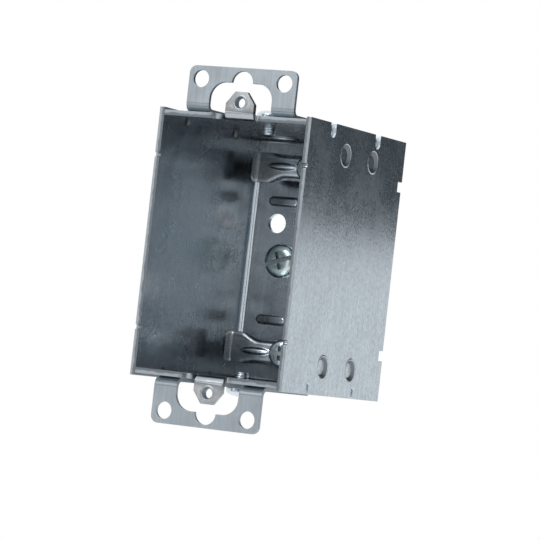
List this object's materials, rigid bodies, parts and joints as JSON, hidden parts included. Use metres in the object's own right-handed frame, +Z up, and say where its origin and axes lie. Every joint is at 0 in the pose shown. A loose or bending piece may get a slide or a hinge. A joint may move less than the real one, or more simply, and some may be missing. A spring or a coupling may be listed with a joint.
{
  "type": "switch box",
  "caption": "Open galvanised steel wall box for a switch, with folded plaster ears, device tabs, inside cable clamps and a ground screw.",
  "frame": {"origin": "centre of the open front rim, in the rim's plane", "axes": "+Y runs into the box, +Z up along the line of the two device tabs, +X to the right seen from the front"},
  "size_m": [0.0492, 0.0666, 0.1034],
  "materials": {
    "galvanised": "zinc coated sheet",
    "ear_sheet": "satin zinc coated sheet",
    "clamp_sheet": "bright zinc",
    "screw_zinc": "bright zinc",
    "ground_zinc": "bright zinc with a faint green tint"
  },
  "bodies": {
    "box": {"box_body": "galvanised", "left_side": "galvanised", "right_side": "galvanised"},
    "upper_ear": {"upper_ear": "ear_sheet"},
    "lower_ear": {"lower_ear": "ear_sheet"},
    "upper_ear_screw": {"upper_ear_screw": "screw_zinc"},
    "lower_ear_screw": {"lower_ear_screw": "screw_zinc"},
    "upper_clamp": {"upper_clamp": "clamp_sheet"},
    "lower_clamp": {"lower_clamp": "clamp_sheet"},
    "upper_clamp_screw": {"upper_clamp_screw": "screw_zinc"},
    "lower_clamp_screw": {"lower_clamp_screw": "screw_zinc"},
    "ground_screw": {"ground_screw": "ground_zinc"}
  },
  "joints": [
    {"name": "upper_ear_slide", "type": "slide", "parent": "box", "child": "upper_ear", "axis": [0, 1, 0], "range_m": [-0.005, 0.005]},
    {"name": "upper_ear_screw_turn", "type": "hinge", "parent": "box", "child": "upper_ear_screw", "pos_m": [0, 0.022, 0.0381], "axis": [0, 0, 1], "range_deg": [0, 1080]},
    {"name": "upper_clamp_slide", "type": "slide", "parent": "box", "child": "upper_clamp", "axis": [0, -1, 0], "range_m": [-0.002, 0.0045]},
    {"name": "upper_clamp_screw_turn", "type": "hinge", "parent": "upper_clamp", "child": "upper_clamp_screw", "pos_m": [0, 0.05052, 0.02791], "axis": [0, -1, 0], "range_deg": [-908, 2042]},
    {"name": "lower_ear_slide", "type": "slide", "parent": "box", "child": "lower_ear", "axis": [0, 1, 0], "range_m": [-0.005, 0.005]},
    {"name": "lower_ear_screw_turn", "type": "hinge", "parent": "box", "child": "lower_ear_screw", "pos_m": [0, 0.022, -0.0381], "axis": [0, 0, -1], "range_deg": [0, 1080]},
    {"name": "lower_clamp_slide", "type": "slide", "parent": "box", "child": "lower_clamp", "axis": [0, -1, 0], "range_m": [-0.0065, 0]},
    {"name": "lower_clamp_screw_turn", "type": "hinge", "parent": "lower_clamp", "child": "lower_clamp_screw", "pos_m": [0, 0.04602, -0.02791], "axis": [0, -1, 0], "range_deg": [-2949, 0]},
    {"name": "ground_screw_turn", "type": "hinge", "parent": "box", "child": "ground_screw", "pos_m": [-0.0111, 0.06032, 0], "axis": [0, -1, 0], "range_deg": [0, 1800]}
  ],
  "couplings": [
    {"joint": "upper_clamp_screw_turn", "follows": "upper_clamp_slide", "rad_per_m": 7915.8},
    {"joint": "lower_clamp_screw_turn", "follows": "lower_clamp_slide", "rad_per_m": 7915.8}
  ]
}
